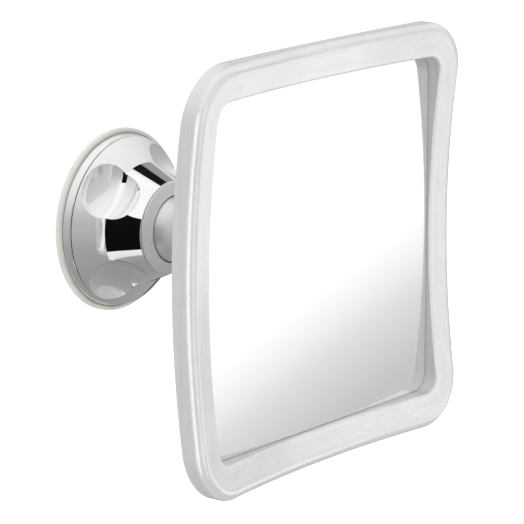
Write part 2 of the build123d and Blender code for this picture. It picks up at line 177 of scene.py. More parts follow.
class MountLook(bpy.types.PropertyGroup):
    """Colours and sizes of the mount and the arm"""

    chrome_tint: FloatVectorProperty(
        name="Chrome",
        description="Colour of the bright plating",
        subtype="COLOR",
        default=(0.94, 0.94, 0.945),
        min=0.0,
        max=1.0,
    )
    satin_tint: FloatVectorProperty(
        name="Satin silver",
        description="Colour of the collar, the ball and the arm",
        subtype="COLOR",
        default=(0.88, 0.88, 0.89),
        min=0.0,
        max=1.0,
    )
    # Painted shadow in the gap where the ball leaves the collar: its radius and its fade
    gap_shadow_radius: FloatProperty(
        name="Collar's dark rim",
        description="Radius of the dark line where the ball leaves the collar",
        unit="LENGTH",
        default=0.0132,
    )
    gap_shadow_fade: FloatProperty(
        name="Rim fade",
        description="Width over which the dark rim ends",
        unit="LENGTH",
        default=0.0003,
    )
    cup_tint: FloatVectorProperty(
        name="Cup rubber",
        description="Colour of the soft suction cup",
        subtype="COLOR",
        default=(0.92, 0.90, 0.855),
        min=0.0,
        max=1.0,
    )
    # Painted shadow line where the pressure ring sits on the cup: its radius and half width
    ring_shadow_radius: FloatProperty(
        name="Ring line",
        description="Radius of the dark line where the pressure ring sits on the cup",
        unit="LENGTH",
        default=0.0343,
    )
    ring_shadow_width: FloatProperty(
        name="Ring line width",
        description="Half width of that line",
        unit="LENGTH",
        default=0.0004,
    )
    cup_radius: FloatProperty(
        name="Cup radius",
        description="Radius of the suction cup's rim",
        unit="LENGTH",
        default=0.036,
    )
    cup_thickness: FloatProperty(
        name="Cup thickness",
        description="Thickness of the suction cup's skirt",
        unit="LENGTH",
        default=0.0021,
    )
    cup_round: FloatProperty(
        name="Cup rim round",
        description="Radius on the rim's front edge",
        unit="LENGTH",
        default=0.0007,
    )
    cup_grooves: IntProperty(
        name="Cup grooves",
        description="Fine rings moulded in the wall side",
        default=6,
        min=0,
    )
    boss_radius: FloatProperty(
        name="Boss radius",
        description="Radius of the cup's middle, which holds the stud's head",
        unit="LENGTH",
        default=0.008,
    )
    boss_height: FloatProperty(
        name="Boss height",
        description="From the skirt's front to the boss's front",
        unit="LENGTH",
        default=0.0015,
    )


class StudioLook(bpy.types.PropertyGroup):
    """Camera, floor and lights"""

    camera_azimuth: FloatProperty(
        name="Camera azimuth",
        description="Angle of the camera round the upright axis, from straight in front",
        subtype="ANGLE",
        default=radians(-52.09),
    )
    camera_elevation: FloatProperty(
        name="Camera elevation",
        description="Angle of the camera above the level",
        subtype="ANGLE",
        default=radians(13.05),
    )
    camera_distance: FloatProperty(
        name="Camera distance",
        description="From the camera to the point that it aims at",
        unit="LENGTH",
        default=1.2552,
    )
    camera_aim: FloatVectorProperty(
        name="Camera aim",
        description="Point at the middle of the picture",
        subtype="TRANSLATION",
        unit="LENGTH",
        default=(0.0319, -0.0472, -0.0165),
    )
    camera_lens: FloatProperty(
        name="Lens",
        description="Focal length on a 36 mm sensor",
        unit="CAMERA",
        default=220.7,
    )
    floor_tint: FloatVectorProperty(
        name="Floor",
        description="Colour of the floor",
        subtype="COLOR",
        default=(0.86, 0.86, 0.86),
        min=0.0,
        max=1.0,
    )
    floor_lift: FloatProperty(
        name="Floor lift",
        description="White added to the floor where the camera sees it",
        default=0.60,
        min=0.0,
    )
    floor_drop: FloatProperty(
        name="Floor drop",
        description="From the object's lowest point to the floor",
        unit="LENGTH",
        default=0.16,
    )
    sky_level: FloatProperty(
        name="Surround light",
        description="Strength of the even light from all sides",
        default=0.66,
        min=0.0,
    )
    key_power: FloatProperty(
        name="Key light",
        description="Power of the soft box in front",
        unit="POWER",
        default=9.5,
        min=0.0,
    )
    top_power: FloatProperty(
        name="Top light",
        description="Power of the soft box overhead",
        unit="POWER",
        default=7.0,
        min=0.0,
    )
    back_power: FloatProperty(
        name="Back light",
        description="Power of the soft box behind, which lights the mirror's back",
        unit="POWER",
        default=3.0,
        min=0.0,
    )
    strip_distance: FloatProperty(
        name="Strip distance",
        description="From the object to the soft lamps that the bead reflects",
        unit="LENGTH",
        default=1.4,
    )
    panel_distance: FloatProperty(
        name="Panel distance",
        description="From the mount to the panels that the plating reflects",
        unit="LENGTH",
        default=1.5,
    )


# Materials


def new_surface(name, color, roughness, metallic=0.0):
    """Material with a Principled shader, and the parts of its node tree"""
    material = bpy.data.materials.new(name)
    material.use_nodes = True
    tree = material.node_tree
    shader = tree.nodes["Principled BSDF"]
    shader.inputs["Base Color"].default_value = (*color, 1.0)
    shader.inputs["Roughness"].default_value = roughness
    shader.inputs["Metallic"].default_value = metallic
    return material, tree, shader


def object_place(tree, scale=(1.0, 1.0, 1.0), location=(0.0, 0.0, 0.0)):
    """Object coordinates through a Mapping node"""
    place = tree.nodes.new("ShaderNodeTexCoord")
    mapping = tree.nodes.new("ShaderNodeMapping")
    mapping.inputs["Scale"].default_value = scale
    mapping.inputs["Location"].default_value = location
    tree.links.new(place.outputs["Object"], mapping.inputs["Vector"])
    return mapping.outputs["Vector"]


def noise(tree, vector, per_metre, detail=2.0, distortion=0.0):
    """Noise with a number of cells a metre"""
    node = tree.nodes.new("ShaderNodeTexNoise")
    node.inputs["Scale"].default_value = per_metre
    node.inputs["Detail"].default_value = detail
    node.inputs["Distortion"].default_value = distortion
    tree.links.new(vector, node.inputs["Vector"])
    return node.outputs["Fac"]


def ramp(tree, value, stops):
    """Colour ramp with (position, colour) stops"""
    node = tree.nodes.new("ShaderNodeValToRGB")
    elements = node.color_ramp.elements
    elements[0].position, elements[0].color = stops[0][0], (*stops[0][1], 1.0)
    elements[1].position, elements[1].color = stops[-1][0], (*stops[-1][1], 1.0)
    for position, color in stops[1:-1]:
        element = elements.new(position)
        element.color = (*color, 1.0)
    tree.links.new(value, node.inputs["Fac"])
    return node.outputs["Color"]


def greys(stops):
    """Colour stops from (position, grey level) stops"""
    return [(position, (level, level, level)) for position, level in stops]


def spread(tree, value, low, high, from_low=0.3, from_high=0.7):
    """Value moved from one range to another"""
    node = tree.nodes.new("ShaderNodeMapRange")
    node.inputs["From Min"].default_value = from_low
    node.inputs["From Max"].default_value = from_high
    node.inputs["To Min"].default_value = low
    node.inputs["To Max"].default_value = high
    tree.links.new(value, node.inputs["Value"])
    return node.outputs["Result"]


def sums(tree, operation, first, second=0.0):
    """Math node on sockets or plain numbers"""
    node = tree.nodes.new("ShaderNodeMath")
    node.operation = operation
    for socket, value in zip(node.inputs, (first, second)):
        if isinstance(value, bpy.types.NodeSocket):
            tree.links.new(value, socket)
        else:
            socket.default_value = value
    return node.outputs["Value"]


def axes(tree, vector):
    """The three parts of a vector"""
    node = tree.nodes.new("ShaderNodeSeparateXYZ")
    tree.links.new(vector, node.inputs["Vector"])
    return node.outputs["X"], node.outputs["Y"], node.outputs["Z"]


def times(tree, first, second):
    """Two colours multiplied"""
    node = tree.nodes.new("ShaderNodeMix")
    node.data_type = "RGBA"
    node.blend_type = "MULTIPLY"
    node.inputs[MIX_SHARE].default_value = 1.0
    tree.links.new(first, node.inputs[MIX_FIRST])
    tree.links.new(second, node.inputs[MIX_SECOND])
    return node.outputs[MIX_RESULT]


def blend_colors(tree, share, first, second):
    """Colour between two colours or sockets"""
    node = tree.nodes.new("ShaderNodeMix")
    node.data_type = "RGBA"
    tree.links.new(share, node.inputs[MIX_SHARE])
    for socket, value in ((node.inputs[MIX_FIRST], first), (node.inputs[MIX_SECOND], second)):
        if isinstance(value, bpy.types.NodeSocket):
            tree.links.new(value, socket)
        else:
            socket.default_value = (*value, 1.0)
    return node.outputs[MIX_RESULT]


def outline_reach(tree, place, look):
    """Distance past the corners' centres, which is the lip's corner radius all along the lip"""
    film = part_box("anti_fog_film")[1]
    widening = film[0] - film[2]
    straight = half_width("front_frame") - look.bead_width - look.lip_corner
    across, _, upright = axes(tree, place)
    past_x = sums(tree, "SUBTRACT", sums(tree, "ABSOLUTE", across), straight + widening)
    past_z = sums(tree, "SUBTRACT", sums(tree, "ABSOLUTE", upright), straight)
    inside = sums(tree, "MINIMUM", sums(tree, "MAXIMUM", past_x, past_z), 0.0)
    out_x = sums(tree, "POWER", sums(tree, "MAXIMUM", past_x), 2.0)
    out_z = sums(tree, "POWER", sums(tree, "MAXIMUM", past_z), 2.0)
    return sums(tree, "ADD", sums(tree, "SQRT", sums(tree, "ADD", out_x, out_z)), inside)


def axis_distance(tree, place):
    """Distance from the depth axis"""
    across, _, upright = axes(tree, place)
    across_squared = sums(tree, "MULTIPLY", across, across)
    upright_squared = sums(tree, "MULTIPLY", upright, upright)
    return sums(tree, "SQRT", sums(tree, "ADD", across_squared, upright_squared))


def half_width(name):
    """Half of a CAD node's width"""
    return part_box(name)[1][0]


def relief(tree, shader, height, depth):
    """Bump of a depth in metres"""
    node = tree.nodes.new("ShaderNodeBump")
    node.inputs["Strength"].default_value = 1.0
    node.inputs["Distance"].default_value = depth
    tree.links.new(height, node.inputs["Height"])
    tree.links.new(node.outputs["Normal"], shader.inputs["Normal"])


# Painted shade and highlights across the bead: lighter and darker bands from the lip to the outer edge
BEAD_PAINTED_SHADES = (
    (0.0, 0.95),
    (0.10, 0.97),
    (0.22, 0.93),
    (0.55, 0.95),
    (0.70, 0.90),
    (0.80, 0.93),
    (0.90, 1.0),
    (1.0, 0.97),
)


def pearl_plastic(look):
    """Glossy white plastic with fine flakes and streaks, and painted shade and highlight bands across the
    bead
    """
    material, tree, shader = new_surface("pearl_plastic", look.pearl_tint, roughness=0.30, metallic=0.2)
    place = object_place(tree)
    reach = outline_reach(tree, place, look)
    lip = look.lip_corner
    over_bead = spread(tree, reach, 0.0, 1.0, lip, lip + look.bead_width)
    # Painted shade and highlights: bands of lighter and darker colour across the bead, from lip to outer
    # edge
    painted_bands = ramp(tree, over_bead, greys(BEAD_PAINTED_SHADES))
    swirl = noise(tree, place, per_metre=34.0, detail=3.0, distortion=1.2)
    tint = ramp(tree, swirl, [(0.32, look.pearl_shade), (0.60, look.pearl_tint)])
    along = tree.nodes.new("ShaderNodeCombineXYZ")
    tree.links.new(reach, along.inputs["X"])
    tree.links.new(axes(tree, place)[1], along.inputs["Y"])
    drawn = noise(tree, along.outputs["Vector"], per_metre=700.0)
    inside_lip = spread(tree, reach, 1.0, 0.0, 0.0, lip)
    streaks = blend_colors(tree, inside_lip, ramp(tree, drawn, greys([(0.35, 0.94), (0.65, 1.0)])), WHITE)
    flake = noise(tree, place, per_metre=3600.0, detail=1.0)
    tint = times(tree, times(tree, tint, painted_bands), streaks)
    tree.links.new(tint, shader.inputs["Base Color"])
    tree.links.new(spread(tree, flake, 0.26, 0.36), shader.inputs["Roughness"])
    relief(tree, shader, noise(tree, place, per_metre=90.0, detail=1.0), depth=0.00002)
    shader.inputs["Subsurface Weight"].default_value = 0.15
    shader.inputs["Subsurface Radius"].default_value = (1.0, 0.95, 0.9)
    shader.inputs["Subsurface Scale"].default_value = 0.002
    shader.inputs["Coat Weight"].default_value = 0.8
    shader.inputs["Coat Roughness"].default_value = 0.06
    return material


def bright_chrome(look):
    """Plated surface with the faintest polishing haze"""
    material, tree, shader = new_surface("bright_chrome", look.chrome_tint, roughness=0.04, metallic=1.0)
    place = object_place(tree)
    haze = noise(tree, place, per_metre=220.0, detail=3.0)
    tree.links.new(spread(tree, haze, 0.02, 0.06), shader.inputs["Roughness"])
    cloud = noise(tree, place, per_metre=60.0)
    tint = ramp(tree, cloud, [(0.3, look.chrome_tint), (0.7, (0.96, 0.96, 0.97))])
    tree.links.new(tint, shader.inputs["Base Color"])
    return material


def satin_silver(look, name="satin_silver", rim=0.0):
    """Fine blasted silver with a soft sheen, and painted shadow within the rim's radius round the depth
    axis, where the ball leaves the collar
    """
    material, tree, shader = new_surface(name, look.satin_tint, roughness=0.42, metallic=0.9)
    place = object_place(tree)
    grain = noise(tree, place, per_metre=4200.0, detail=2.0)
    tree.links.new(spread(tree, grain, 0.38, 0.52), shader.inputs["Roughness"])
    speckle = noise(tree, place, per_metre=2600.0)
    tint = ramp(tree, speckle, [(0.3, (0.80, 0.80, 0.81)), (0.7, look.satin_tint)])
    # Painted shadow: dark within the rim's radius, in the gap between the ball and the collar
    if rim:
        shade = spread(tree, axis_distance(tree, place), 0.0, 1.0, rim, rim + look.gap_shadow_fade)
        tint = times(tree, tint, ramp(tree, shade, greys([(0.0, 0.10), (1.0, 1.0)])))
    tree.links.new(tint, shader.inputs["Base Color"])
    relief(tree, shader, grain, depth=0.000006)
    return material


def brushed_steel():
    """Steel with turned lines round the depth axis"""
    material, tree, shader = new_surface("screw_steel", (0.56, 0.56, 0.57), roughness=0.3, metallic=1.0)
    place = object_place(tree, scale=(1.0, 14.0, 1.0))
    lines = noise(tree, place, per_metre=900.0, detail=4.0)
    tree.links.new(spread(tree, lines, 0.22, 0.40), shader.inputs["Roughness"])
    tint = ramp(tree, lines, [(0.3, (0.48, 0.48, 0.49)), (0.7, (0.62, 0.62, 0.63))])
    tree.links.new(tint, shader.inputs["Base Color"])
    relief(tree, shader, lines, depth=0.00001)
    return material


def moulded(name, color, other, roughness, per_metre=900.0):
    """Moulded plastic with a fine skin texture"""
    material, tree, shader = new_surface(name, color, roughness)
    place = object_place(tree)
    skin = noise(tree, place, per_metre, detail=2.0)
    cloud = noise(tree, place, per_metre=90.0, detail=2.0)
    tint = ramp(tree, cloud, [(0.35, other), (0.65, color)])
    tree.links.new(tint, shader.inputs["Base Color"])
    tree.links.new(spread(tree, skin, roughness - 0.05, roughness + 0.08), shader.inputs["Roughness"])
    relief(tree, shader, skin, depth=0.00002)
    return material


def cup_rubber(look):
    """Soft, slightly cloudy rubber, with a painted shadow line in front where the ring sits on it"""
    material, tree, shader = new_surface("cup_rubber", look.cup_tint, roughness=0.4)
    place = object_place(tree)
    cloud = noise(tree, place, per_metre=60.0, detail=2.0)
    darker = [channel * 0.93 for channel in look.cup_tint]
    tint = ramp(tree, cloud, [(0.3, darker), (0.7, tuple(look.cup_tint))])
    # Painted contact shadow: a dark line round the axis where the ring sits, fading out towards the wall
    # side
    from_axis = axis_distance(tree, place)
    line = look.ring_shadow_radius
    inside_line = spread(tree, from_axis, 1.0, 0.0, line - look.ring_shadow_width, line)
    outside_line = spread(tree, from_axis, 0.0, 1.0, line, line + look.ring_shadow_width)
    at_wall = spread(tree, axes(tree, place)[1], 0.0, 1.0, -look.cup_thickness, 0.0)
    off_line = sums(tree, "MAXIMUM", sums(tree, "MAXIMUM", inside_line, outside_line), at_wall)
    painted_ring_shadow = ramp(tree, off_line, greys([(0.0, 0.42), (1.0, 1.0)]))
    tree.links.new(times(tree, tint, painted_ring_shadow), shader.inputs["Base Color"])
    bloom = noise(tree, place, per_metre=500.0)
    tree.links.new(spread(tree, bloom, 0.34, 0.48), shader.inputs["Roughness"])
    relief(tree, shader, noise(tree, place, per_metre=1400.0), depth=0.00001)
    shader.inputs["Subsurface Weight"].default_value = 0.5
    shader.inputs["Subsurface Radius"].default_value = (1.0, 0.9, 0.75)
    shader.inputs["Subsurface Scale"].default_value = 0.003
    return material


def silvered_plate(look):
    """Silvered glass with a thin painted shadow line where it meets the frame's lip"""
    material, tree, shader = new_surface("silvered_plate", look.silver_tint, roughness=0.0, metallic=1.0)
    place = object_place(tree)
    reach = outline_reach(tree, place, look)
    lip = look.lip_corner
    # Painted shadow: a thin dark line just inside the frame's lip
    line = spread(tree, reach, 0.0, 1.0, lip - 2 * look.lip_shadow_width, lip - look.lip_shadow_width)
    tint = blend_colors(tree, line, look.silver_tint, (0.46, 0.46, 0.47))
    tree.links.new(tint, shader.inputs["Base Color"])
    ripple = noise(tree, place, per_metre=30.0)
    tree.links.new(spread(tree, ripple, 0.0, 0.012), shader.inputs["Roughness"])
    return material


def clear_film():
    """Clear film that only adds a faint gloss"""
    material, tree, shader = new_surface("clear_film", (0.95, 0.97, 0.98), roughness=0.03)
    shader.inputs["Alpha"].default_value = 0.03
    shader.inputs["IOR"].default_value = 1.38
    place = object_place(tree)
    ripple = noise(tree, place, per_metre=40.0)
    tree.links.new(spread(tree, ripple, 0.02, 0.05), shader.inputs["Roughness"])
    return material


def dress(names, material):
    """Give CAD nodes their finish"""
    for name in names:
        mesh = nodes[name].data
        mesh.materials.clear()
        mesh.materials.append(material)


# Modelling helpers


def deselect_all():
    """Leave nothing selected before a piece is modelled"""
    if bpy.context.object and bpy.context.object.mode != "OBJECT":
        bpy.ops.object.mode_set(mode="OBJECT")
    bpy.ops.object.select_all(action="DESELECT")


def start_turned(name, radius, back, front, sides=128):
    """Round block along the depth axis, open in edit mode"""
    deselect_all()
    bpy.ops.mesh.primitive_cylinder_add(
        vertices=sides,
        radius=radius,
        depth=front - back,
        location=(0, -(front + back) / 2, 0),
        rotation=(pi / 2, 0, 0),
    )
    piece = bpy.context.object
    piece.name = name
    bpy.ops.object.transform_apply(location=True, rotation=True)
    bpy.ops.object.mode_set(mode="EDIT")
    return piece


def pick_faces(wanted):
    """Select only the faces that a test holds for"""
    bpy.ops.mesh.select_mode(type="FACE")
    bpy.ops.mesh.select_all(action="DESELECT")
    mesh = bmesh.from_edit_mesh(bpy.context.object.data)
    for face in mesh.faces:
        face.select_set(wanted(face))
    bmesh.update_edit_mesh(bpy.context.object.data)


def pick_edges(wanted):
    """Select only the edges that a test holds for"""
    bpy.ops.mesh.select_mode(type="EDGE")
    bpy.ops.mesh.select_all(action="DESELECT")
    mesh = bmesh.from_edit_mesh(bpy.context.object.data)
    for edge in mesh.edges:
        edge.select_set(wanted(edge))
    bmesh.update_edit_mesh(bpy.context.object.data)


def pick_end(side):
    """Select the round end that looks forward (1) or to the wall (-1)"""
    pick_faces(lambda face: len(face.verts) > QUAD_SIDES and face.normal.y * side < -ALONG_AXIS)


def rim_at(radius, depth):
    """Test for the edges of a circle on the depth axis"""

    def test(edge):
        return all(
            abs(hypot(vert.co.x, vert.co.z) - radius) < SAME_PLACE and abs(vert.co.y + depth) < SAME_PLACE
            for vert in edge.verts
        )

    return test


def ring_in(width, forward=0.0):
    """Inset the picked end by a width, then move it forward"""
    bpy.ops.mesh.inset(thickness=width)
    if forward:
        bpy.ops.transform.translate(value=(0, -forward, 0))


def draw_out(forward):
    """Extrude the picked end forward"""
    bpy.ops.mesh.extrude_region_move(TRANSFORM_OT_translate={"value": (0, -forward, 0)})


def finish_piece(piece, body, material):
    """Smooth the piece, give it its finish and its body"""
    bpy.ops.object.mode_set(mode="OBJECT")
    bpy.ops.object.shade_smooth_by_angle(angle=SMOOTH_ANGLE)
    piece.data.materials.clear()
    piece.data.materials.append(material)
    if body:
        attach(piece, body)


def cup_skirt(look, material):
    """Soft skirt that seals on the wall, with fine rings moulded in its wall side"""
    hole = look.boss_radius - BOSS_FOOT_INSET + PIECE_GAP
    piece = start_turned("cup_skirt", look.cup_radius, 0.0, look.cup_thickness)
    pick_edges(rim_at(look.cup_radius, look.cup_thickness))
    bpy.ops.mesh.bevel(offset=look.cup_round, segments=5, affect="EDGES")
    pick_end(-1)
    ring_in(RIM_LAND)
    ring_in(GROOVE_SPACING)
    radius = look.cup_radius - RIM_LAND - GROOVE_SPACING
    for _ in range(look.cup_grooves):
        ring_in(GROOVE_DEPTH, GROOVE_DEPTH)
        ring_in(GROOVE_FLOOR)
        ring_in(GROOVE_DEPTH, -GROOVE_DEPTH)
        ring_in(GROOVE_SPACING)
        radius -= 2 * GROOVE_DEPTH + GROOVE_FLOOR + GROOVE_SPACING
    ring_in(radius - hole)
    pick_end(1)
    ring_in(look.cup_radius - look.cup_round - hole)
    pick_faces(lambda face: len(face.verts) > QUAD_SIDES)
    bpy.ops.mesh.bridge_edge_loops()
    finish_piece(piece, "base", material)
    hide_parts("suction_cup")


def cup_boss(look, material):
    """Soft middle of the cup round the stud's head"""
    head_radius = STUD_HEAD_RADIUS + PIECE_GAP
    shaft_radius = STUD_SHAFT_RADIUS + PIECE_GAP
    cavity_back = STUD_HEAD_BACK - PIECE_GAP
    cavity_front = STUD_HEAD_FRONT + PIECE_GAP
    seat = look.cup_thickness + PIECE_GAP
    top = look.cup_thickness + look.boss_height
    piece = start_turned("cup_boss", look.boss_radius, seat, top, sides=96)
    pick_edges(rim_at(look.boss_radius, top))
    bpy.ops.mesh.bevel(offset=BOSS_ROUND, segments=3, affect="EDGES")
    pick_end(-1)
    ring_in(BOSS_FOOT_INSET)
    draw_out(-seat)
    pick_end(1)
    ring_in(look.boss_radius - BOSS_ROUND - shaft_radius)
    draw_out(cavity_front - top)
    draw_out(0.0)
    wider = head_radius / shaft_radius
    bpy.ops.transform.resize(value=(wider, 1.0, wider), center_override=(0, -cavity_front, 0))
    draw_out(cavity_back - cavity_front)
    finish_piece(piece, None, material)
    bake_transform(piece)
    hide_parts("suction_cup")


def film_sheet(look, material):
    """Clear film over the glass, flat with rounded corners"""
    low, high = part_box("anti_fog_film")
    back, front = -high[1] + FILM_CLEARANCE, -low[1]
    deselect_all()
    bpy.ops.mesh.primitive_plane_add(size=2.0, location=(0, -back, 0), rotation=(pi / 2, 0, 0))
    piece = bpy.context.object
    piece.name = "film_sheet"
    piece.scale = (high[0], high[2], 1.0)
    bpy.ops.object.transform_apply(location=True, rotation=True, scale=True)
    bpy.ops.object.mode_set(mode="EDIT")
    bpy.ops.mesh.select_all(action="SELECT")
    bpy.ops.mesh.bevel(offset=look.film_corner, segments=8, affect="VERTICES")
    bpy.ops.mesh.select_all(action="SELECT")
    draw_out(front - back)
    bpy.ops.mesh.select_all(action="SELECT")
    bpy.ops.mesh.normals_make_consistent(inside=False)
    finish_piece(piece, "head", material)
    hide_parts("anti_fog_film")


def foam_discs(look, material):
    """Squeezed foam discs on the four posts, their sides bulging"""
    low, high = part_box("foam_pads")
    back, front = -high[1], -low[1]
    out_x = high[0] - look.pad_radius
    out_z = high[2] - look.pad_radius
    for number, (x, z) in enumerate(((-1, -1), (1, -1), (-1, 1), (1, 1)), 1):
        piece = start_turned("foam_disc_%d" % number, look.pad_radius, back, front, sides=64)
        pick_edges(lambda edge: abs(edge.verts[0].co.y - edge.verts[1].co.y) < SAME_DEPTH)
        bpy.ops.mesh.bevel(offset=look.pad_round, segments=4, affect="EDGES")
        bpy.ops.mesh.select_all(action="SELECT")
        bpy.ops.transform.translate(value=(x * out_x, 0, z * out_z))
        finish_piece(piece, "head", material)
        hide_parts("foam_pads")


# Operators


class MIRROR_OT_head(bpy.types.Operator):
    """Finish the frame, the back, the glass and its film, and make the foam discs"""

    bl_idname = "mirror.head"
    bl_label = "Mirror head"

    def execute(self, context):
        look = context.scene.mirror_head
        dress(["front_frame", "rear_cover"], pearl_plastic(look))
        dress(["mirror_plate"], silvered_plate(look))
        film_sheet(look, clear_film())
        seal = moulded("seal_rubber", (0.16, 0.16, 0.17), (0.12, 0.12, 0.13), roughness=0.55)
        dress(["cover_seal", "neck_o_ring"], seal)
        foam = moulded("pad_foam", (0.80, 0.79, 0.74), (0.70, 0.69, 0.65), roughness=0.85, per_metre=2500.0)
        foam_discs(look, foam)
        return {"FINISHED"}


class MIRROR_OT_mount(bpy.types.Operator):
    """Finish the chrome mount, the satin ball joint and the arm"""

    bl_idname = "mirror.mount"
    bl_label = "Mount and arm"

    def execute(self, context):
        look = context.scene.mirror_mount
        dress(["pressure_ring", "lock_dome"], bright_chrome(look))
        dress(["pivot_ball", "swing_arm", "swivel_hub"], satin_silver(look))
        # The collar gets a painted shadow at its rim, in the gap round the ball
        dress(["collar_nut"], satin_silver(look, "satin_silver_gap_shadow", look.gap_shadow_radius))
        return {"FINISHED"}


class MIRROR_OT_cup(bpy.types.Operator):
    """Make the soft suction cup from its skirt and its middle"""

    bl_idname = "mirror.cup"
    bl_label = "Suction cup"

    def execute(self, context):
        look = context.scene.mirror_mount
        rubber = cup_rubber(look)
        cup_skirt(look, rubber)
        cup_boss(look, rubber)
        return {"FINISHED"}


class MIRROR_OT_inner(bpy.types.Operator):
    """Finish the pieces inside the mount and the head"""

    bl_idname = "mirror.inner"
    bl_label = "Inner pieces"

    def execute(self, context):
        steel = ["pull_stud", "cross_pin", "dome_screws", "arm_screw", "hub_screws"]
        dress(steel + ["swivel_washer", "swivel_screw"], brushed_steel())
        grey = moulded("acetal_grey", (0.33, 0.34, 0.35), (0.28, 0.29, 0.30), roughness=0.38)
        dress(["guide_hub", "cam_ring"], grey)
        white = moulded("nylon_white", (0.80, 0.79, 0.76), (0.74, 0.73, 0.70), roughness=0.42)
        dress(["slip_washer", "ball_seat", "friction_washer"], white)
        return {"FINISHED"}


class MIRROR_OT_studio(bpy.types.Operator):
    """Set up the camera, the floor, the lights, the panels and the surround"""

    bl_idname = "mirror.studio"
    bl_label = "Studio"

    def execute(self, context):
        look = context.scene.mirror_studio
        place_camera(look)
        lay_floor(look)
        hang_lights(look)
        strip_lights(look)
        stand_panels(look)
        light_surround(look)
        context.scene.view_settings.view_transform = "Standard"
        return {"FINISHED"}


# Studio

# Name, direction, width, height and level of the soft lamps that light the frame
FRAME_STRIPS = (
    ("strip_left", (-0.93, -0.26, -0.25), 0.86, 1.60, 2.0),
    ("strip_front", (-0.16, -0.96, -0.22), 0.18, 1.20, 2.4),
    ("strip_above", (0.84, -0.45, 0.24), 0.50, 0.62, 0.5),
    ("strip_top", (0.80, -0.47, -0.37), 0.45, 0.40, 1.25),
    ("strip_right", (0.62, -0.74, -0.20), 0.56, 0.56, 0.85),
)

# Levels along the panels that the plating and the glass reflect
BLACK = ((0.0, 0.004), (1.0, 0.004))
DARK = ((0.0, 0.01), (1.0, 0.01))
SHADE = ((0.0, 0.14), (1.0, 0.14))
GREY = ((0.0, 0.34), (1.0, 0.30))
WHITE_TO_GREY = ((0.0, 0.90), (0.49, 0.80), (0.55, 0.36), (1.0, 0.33))
SOFT_WHITE = ((0.0, 0.85), (0.5, 1.02), (1.0, 0.85))
FRONT_FALL = ((0.484, 0.69), (0.514, 0.52), (0.540, 0.33), (0.585, 0.14), (0.680, 0.10))
PANEL_STEP = 0.02

# The front panel's direction and distance as the mirror shows it to the camera
FRONT_AHEAD = (0.77, -0.58, -0.24)
FRONT_DISTANCE = 2.75

# Levels of the surround from below to above: as reflected, and as even light
SURROUND_GREYS = (
    (0.0, 0.30),
    (0.25, 0.36),
    (0.40, 0.45),
    (0.50, 0.48),
    (0.57, 0.54),
    (0.65, 0.66),
    (0.78, 0.80),
    (1.0, 0.95),
)
EVEN_GREYS = ((0.2, 0.90), (0.5, 1.08), (0.9, 0.90))


def place_camera(look):
    """Camera at the photograph's angle, looking at its middle"""
    camera = bpy.data.cameras.new("photo_camera")
    camera.lens = look.camera_lens
    camera.sensor_width = 36.0
    camera.clip_end = 50.0
    item = bpy.data.objects.new("photo_camera", camera)
    bpy.context.scene.collection.objects.link(item)
    level = cos(look.camera_elevation)
    back = Vector((
        sin(look.camera_azimuth) * level,
        -cos(look.camera_azimuth) * level,
        sin(look.camera_elevation),
    ))
    item.location = Vector(look.camera_aim) + back * look.camera_distance
    item.rotation_euler = back.to_track_quat("Z", "Y").to_euler()
    bpy.context.scene.camera = item


def lay_floor(look):
    """Pale floor below the object, white where the camera sees it unshaded"""
    deselect_all()
    level = cad_bounds[0].z - look.floor_drop
    bpy.ops.mesh.primitive_circle_add(vertices=96, radius=6.0, fill_type="NGON", location=(0, 0, level))
    floor = bpy.context.object
    floor.name = "studio_floor"
    bpy.ops.object.transform_apply(location=True)
    floor.visible_glossy = False
    material, tree, shader = new_surface("floor_paper", look.floor_tint, 0.9)
    shader.inputs["Specular IOR Level"].default_value = 0.0
    shader.inputs["Emission Color"].default_value = (*WHITE, 1.0)
    path = tree.nodes.new("ShaderNodeLightPath")
    lift = sums(tree, "MULTIPLY", path.outputs["Is Camera Ray"], look.floor_lift)
    tree.links.new(lift, shader.inputs["Emission Strength"])
    floor.data.materials.append(material)


def soft_box(name, place, aim, size, power):
    """Square area light aimed at a point, which no surface reflects as a shape"""
    lamp = bpy.data.lights.new(name, "AREA")
    lamp.shape = "SQUARE"
    lamp.size = size
    lamp.energy = power
    item = bpy.data.objects.new(name, lamp)
    item.location = place
    item.rotation_euler = (Vector(place) - Vector(aim)).to_track_quat("Z", "Y").to_euler()
    item.visible_glossy = False
    bpy.context.scene.collection.objects.link(item)


def hang_lights(look):
    """Large soft boxes overhead, in front and behind"""
    aim = look.camera_aim
    soft_box("top_box", (-0.1, 0.1, 1.5), aim, size=1.6, power=look.top_power)
    soft_box("key_box", (-0.2, -1.6, 0.0), aim, size=1.2, power=look.key_power)
    soft_box("back_box", (-0.7, 1.3, 0.5), aim, size=1.2, power=look.back_power)


def strip_lights(look):
    """Soft lamps that only the frame and its cover reflect, for the light lines along the bead"""
    lit = bpy.data.collections.new("strip_lit")
    for name in ("front_frame", "rear_cover"):
        lit.objects.link(nodes[name])
    for name, towards, width, height, level in FRAME_STRIPS:
        side = Vector(towards).normalized() * look.strip_distance
        lamp = bpy.data.lights.new(name, "AREA")
        lamp.shape = "RECTANGLE"
        lamp.size = width
        lamp.size_y = height
        lamp.energy = level * pi * width * height
        item = bpy.data.objects.new(name, lamp)
        item.location = side
        item.rotation_euler = side.to_track_quat("Z", "Y").to_euler()
        item.visible_diffuse = False
        item.light_linking.receiver_collection = lit
        bpy.context.scene.collection.objects.link(item)


